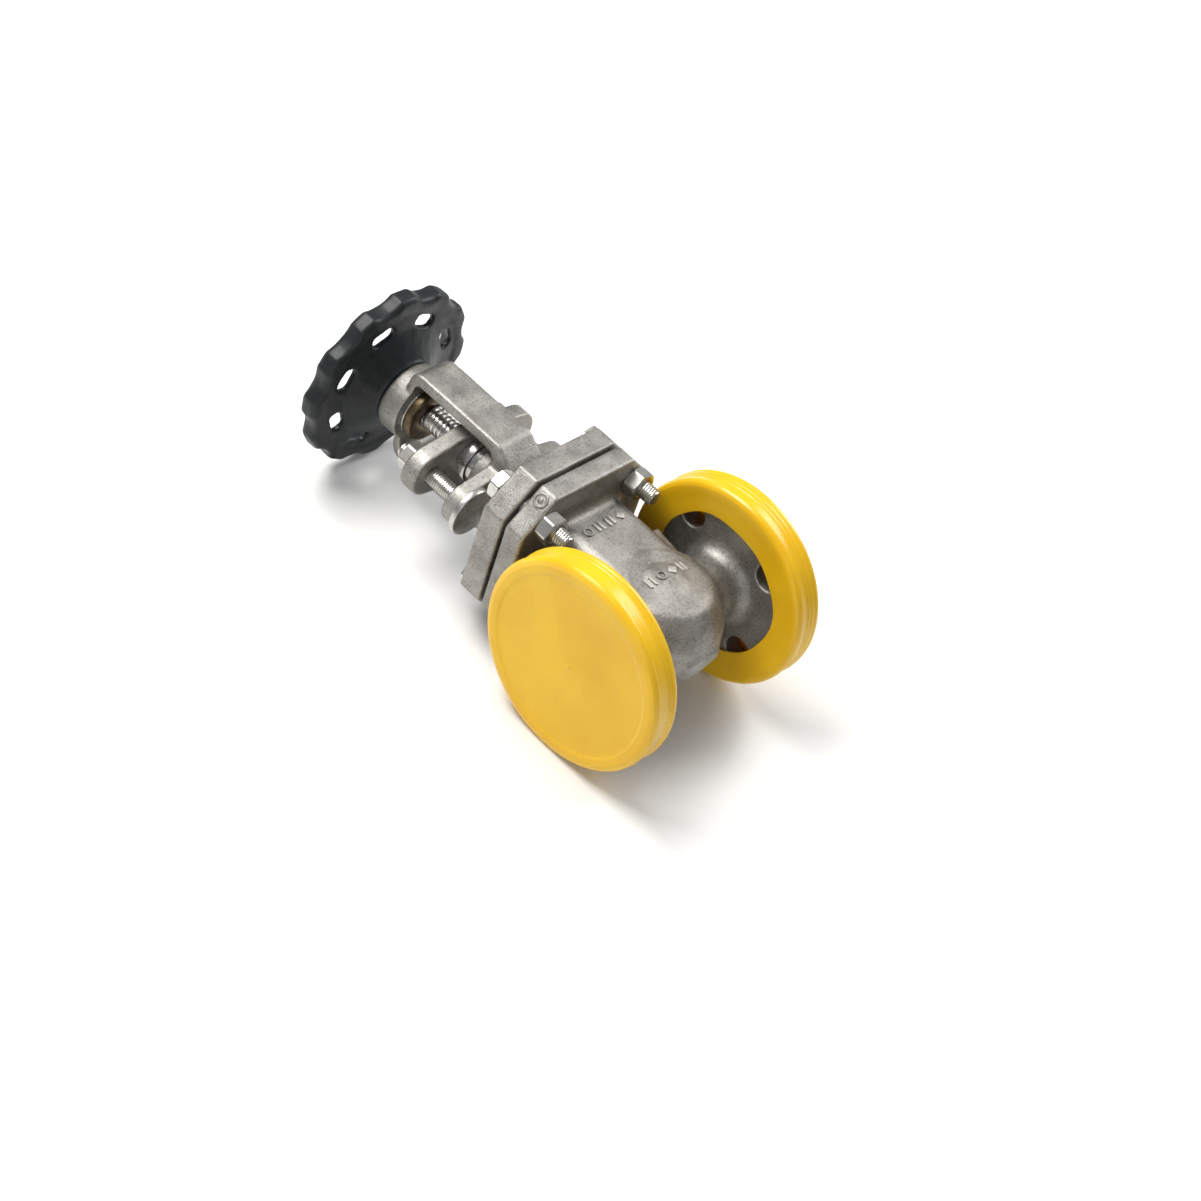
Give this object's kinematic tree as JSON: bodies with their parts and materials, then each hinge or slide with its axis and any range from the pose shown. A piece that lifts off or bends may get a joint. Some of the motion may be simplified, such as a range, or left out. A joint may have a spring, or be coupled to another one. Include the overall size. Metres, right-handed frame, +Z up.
{
  "type": "flanged gate valve",
  "caption": "Flanged gate valve with bolted bonnet, outside screw and yoke, rising stem, scalloped handwheel, and a pull-on plastic cap over each end flange.",
  "frame": {"origin": "on the floor that the valve lies on, under the middle of its length; the crossing of the bore and the stem is at (0, -82, 60) mm", "axes": "the valve lies on its side on the rims of its caps: +Y runs along the stem to the handwheel, +X along the bore from inlet to outlet, +Z up"},
  "size_m": [0.132, 0.284, 0.12],
  "materials": {
    "forged_steel": "shot-blasted forging, light grey",
    "seat_steel": "ground stainless",
    "stem_steel": "turned stainless",
    "gasket": "graphite spiral-wound gasket",
    "graphite": "pressed graphite",
    "zinc_plated_steel": "bright zinc",
    "bronze": "turned bronze",
    "wheel_paint": "satin black paint",
    "cap_plastic": "glossy soft polyethylene"
  },
  "bodies": {
    "valve_body": {"body": "forged_steel", "inlet_seat_ring": "seat_steel", "outlet_seat_ring": "seat_steel", "bonnet_gasket": "gasket", "bonnet": "forged_steel", "back_seat_bushing": "seat_steel", "packing_ring_1": "graphite", "packing_ring_2": "graphite", "packing_ring_3": "graphite", "packing_ring_4": "graphite", "bonnet_bolts": "zinc_plated_steel", "bonnet_nuts": "zinc_plated_steel", "gland_bolts": "zinc_plated_steel", "thrust_washer": "stem_steel"},
    "wheel_set": {"yoke_sleeve": "bronze", "handwheel_key": "stem_steel", "handwheel": "wheel_paint", "handwheel_nut": "zinc_plated_steel"},
    "stem_set": {"stem": "stem_steel", "gate": "seat_steel"},
    "gland_set": {"gland": "stem_steel", "gland_flange": "forged_steel", "gland_nuts": "zinc_plated_steel"},
    "inlet_cap_body": {"inlet_cap": "cap_plastic"},
    "outlet_cap_body": {"outlet_cap": "cap_plastic"}
  },
  "joints": [
    {"name": "wheel_turn", "type": "hinge", "parent": "valve_body", "child": "wheel_set", "pos_m": [0, 0.128, 0.06], "axis": [0, 1, 0], "range_deg": [0, 3600]},
    {"name": "stem_lift", "type": "slide", "parent": "valve_body", "child": "stem_set", "axis": [0, 1, 0], "range_m": [0, 0.03]},
    {"name": "gland_back_off", "type": "slide", "parent": "valve_body", "child": "gland_set", "axis": [0, 1, 0], "range_m": [0, 0.004]},
    {"name": "inlet_cap_pull", "type": "slide", "parent": "valve_body", "child": "inlet_cap_body", "axis": [-1, 0, 0], "range_m": [0, 0.045], "deforming": ["inlet_cap"]},
    {"name": "outlet_cap_pull", "type": "slide", "parent": "valve_body", "child": "outlet_cap_body", "axis": [1, 0, 0], "range_m": [0, 0.045], "deforming": ["outlet_cap"]}
  ],
  "couplings": [
    {"joint": "stem_lift", "follows": "wheel_turn", "m_per_rad": 0.00047746}
  ]
}
